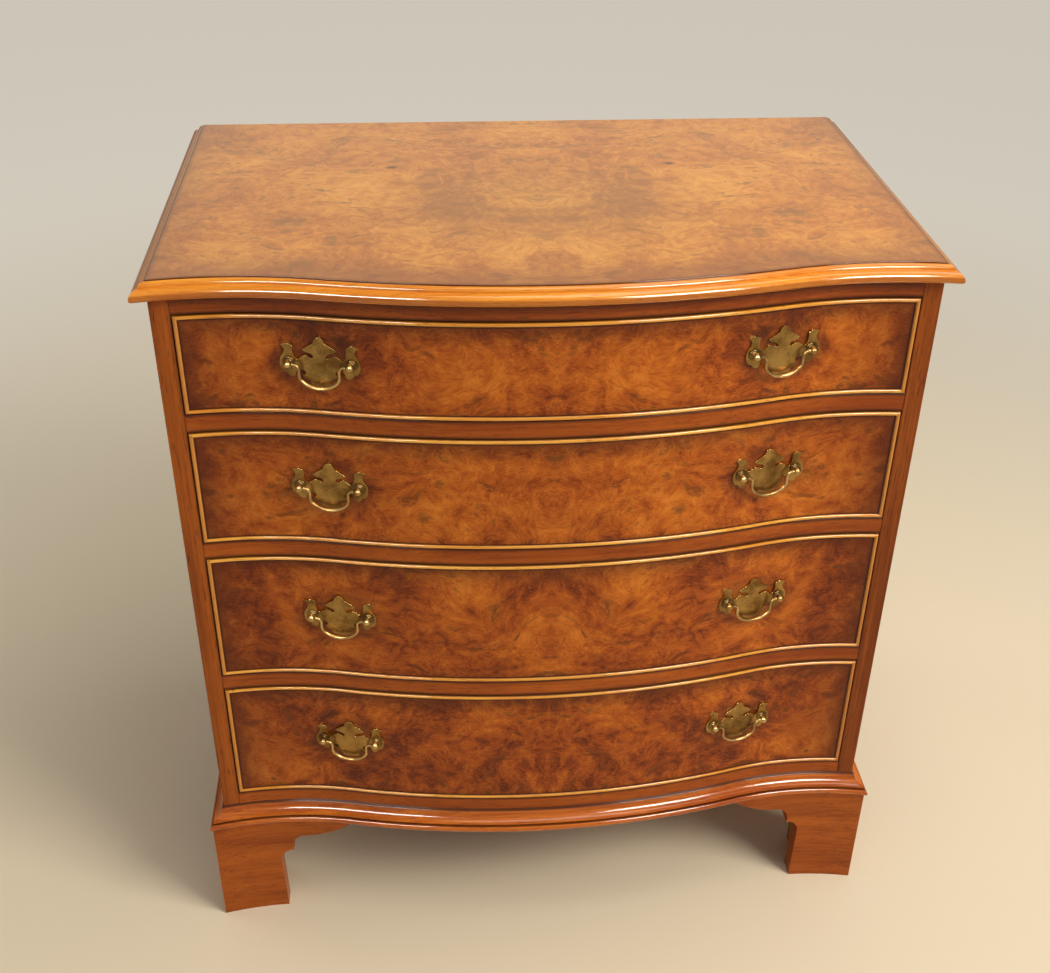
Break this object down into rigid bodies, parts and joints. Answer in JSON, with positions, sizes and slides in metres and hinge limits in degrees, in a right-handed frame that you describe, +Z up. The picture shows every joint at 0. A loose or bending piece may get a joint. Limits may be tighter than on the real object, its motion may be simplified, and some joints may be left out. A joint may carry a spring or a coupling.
{
  "type": "chest of drawers",
  "caption": "Serpentine-fronted burr walnut chest of long drawers with cock-beaded fronts, swan-neck brass handles, a moulded top edge, a moulded plinth and scrolled bracket feet.",
  "frame": {"origin": "on the floor under the middle of the overall box", "axes": "+Z up, front faces -Y, +X to the right when facing the front"},
  "size_m": [0.805, 0.497, 0.8586],
  "materials": {
    "burr_walnut": "french polished burr veneer",
    "walnut": "polished straight grain",
    "cock_bead": "polished pale bead",
    "drawer_lining": "sanded, unpolished",
    "plain_board": "unpolished",
    "brass": "aged, softly polished"
  },
  "bodies": {
    "carcase": {"top_panel": "burr_walnut", "top_moulding": "walnut", "left_side": "walnut", "right_side": "walnut", "top_rail": "walnut", "upper_drawer_rail": "walnut", "middle_drawer_rail": "walnut", "lower_drawer_rail": "walnut", "bottom_rail": "walnut", "bottom_board": "plain_board", "back_panel": "plain_board", "back_rail": "plain_board", "drawer_runners": "plain_board", "drawer_stops": "plain_board", "base_moulding": "walnut", "front_left_foot": "walnut", "front_right_foot": "walnut", "rear_left_foot": "walnut", "rear_right_foot": "walnut", "foot_blocks": "plain_board"},
    "drawer_1": {"drawer_1_front": "burr_walnut", "drawer_1_cock_beads": "cock_bead", "drawer_1_left_side": "drawer_lining", "drawer_1_right_side": "drawer_lining", "drawer_1_back": "drawer_lining", "drawer_1_bottom": "drawer_lining", "drawer_1_handle_plates": "brass", "drawer_1_handle_posts": "brass"},
    "drawer_1_left_bail": {"drawer_1_left_bail": "brass"},
    "drawer_1_right_bail": {"drawer_1_right_bail": "brass"},
    "drawer_2": {"drawer_2_front": "burr_walnut", "drawer_2_cock_beads": "cock_bead", "drawer_2_left_side": "drawer_lining", "drawer_2_right_side": "drawer_lining", "drawer_2_back": "drawer_lining", "drawer_2_bottom": "drawer_lining", "drawer_2_handle_plates": "brass", "drawer_2_handle_posts": "brass"},
    "drawer_2_left_bail": {"drawer_2_left_bail": "brass"},
    "drawer_2_right_bail": {"drawer_2_right_bail": "brass"},
    "drawer_3": {"drawer_3_front": "burr_walnut", "drawer_3_cock_beads": "cock_bead", "drawer_3_left_side": "drawer_lining", "drawer_3_right_side": "drawer_lining", "drawer_3_back": "drawer_lining", "drawer_3_bottom": "drawer_lining", "drawer_3_handle_plates": "brass", "drawer_3_handle_posts": "brass"},
    "drawer_3_left_bail": {"drawer_3_left_bail": "brass"},
    "drawer_3_right_bail": {"drawer_3_right_bail": "brass"},
    "drawer_4": {"drawer_4_front": "burr_walnut", "drawer_4_cock_beads": "cock_bead", "drawer_4_left_side": "drawer_lining", "drawer_4_right_side": "drawer_lining", "drawer_4_back": "drawer_lining", "drawer_4_bottom": "drawer_lining", "drawer_4_handle_plates": "brass", "drawer_4_handle_posts": "brass"},
    "drawer_4_left_bail": {"drawer_4_left_bail": "brass"},
    "drawer_4_right_bail": {"drawer_4_right_bail": "brass"}
  },
  "joints": [
    {"name": "drawer_1_slide", "type": "slide", "parent": "carcase", "child": "drawer_1", "axis": [0, -1, 0], "range_m": [0, 0.32]},
    {"name": "drawer_1_left_bail_swing", "type": "hinge", "parent": "drawer_1", "child": "drawer_1_left_bail", "pos_m": [-0.23042, -0.2144, 0.76965], "axis": [-0.9823, 0.1874, 0], "range_deg": [-8, 188]},
    {"name": "drawer_1_right_bail_swing", "type": "hinge", "parent": "drawer_1", "child": "drawer_1_right_bail", "pos_m": [0.23042, -0.2144, 0.76965], "axis": [-0.9823, -0.1874, 0], "range_deg": [-8, 188]},
    {"name": "drawer_2_slide", "type": "slide", "parent": "carcase", "child": "drawer_2", "axis": [0, -1, 0], "range_m": [0, 0.32]},
    {"name": "drawer_2_left_bail_swing", "type": "hinge", "parent": "drawer_2", "child": "drawer_2_left_bail", "pos_m": [-0.23042, -0.2144, 0.6265], "axis": [-0.9823, 0.1874, 0], "range_deg": [-8, 188]},
    {"name": "drawer_2_right_bail_swing", "type": "hinge", "parent": "drawer_2", "child": "drawer_2_right_bail", "pos_m": [0.23042, -0.2144, 0.6265], "axis": [-0.9823, -0.1874, 0], "range_deg": [-8, 188]},
    {"name": "drawer_3_slide", "type": "slide", "parent": "carcase", "child": "drawer_3", "axis": [0, -1, 0], "range_m": [0, 0.32]},
    {"name": "drawer_3_left_bail_swing", "type": "hinge", "parent": "drawer_3", "child": "drawer_3_left_bail", "pos_m": [-0.23042, -0.2144, 0.4571], "axis": [-0.9823, 0.1874, 0], "range_deg": [-8, 188]},
    {"name": "drawer_3_right_bail_swing", "type": "hinge", "parent": "drawer_3", "child": "drawer_3_right_bail", "pos_m": [0.23042, -0.2144, 0.4571], "axis": [-0.9823, -0.1874, 0], "range_deg": [-8, 188]},
    {"name": "drawer_4_slide", "type": "slide", "parent": "carcase", "child": "drawer_4", "axis": [0, -1, 0], "range_m": [0, 0.32]},
    {"name": "drawer_4_left_bail_swing", "type": "hinge", "parent": "drawer_4", "child": "drawer_4_left_bail", "pos_m": [-0.23042, -0.2144, 0.2742], "axis": [-0.9823, 0.1874, 0], "range_deg": [-8, 188]},
    {"name": "drawer_4_right_bail_swing", "type": "hinge", "parent": "drawer_4", "child": "drawer_4_right_bail", "pos_m": [0.23042, -0.2144, 0.2742], "axis": [-0.9823, -0.1874, 0], "range_deg": [-8, 188]}
  ]
}
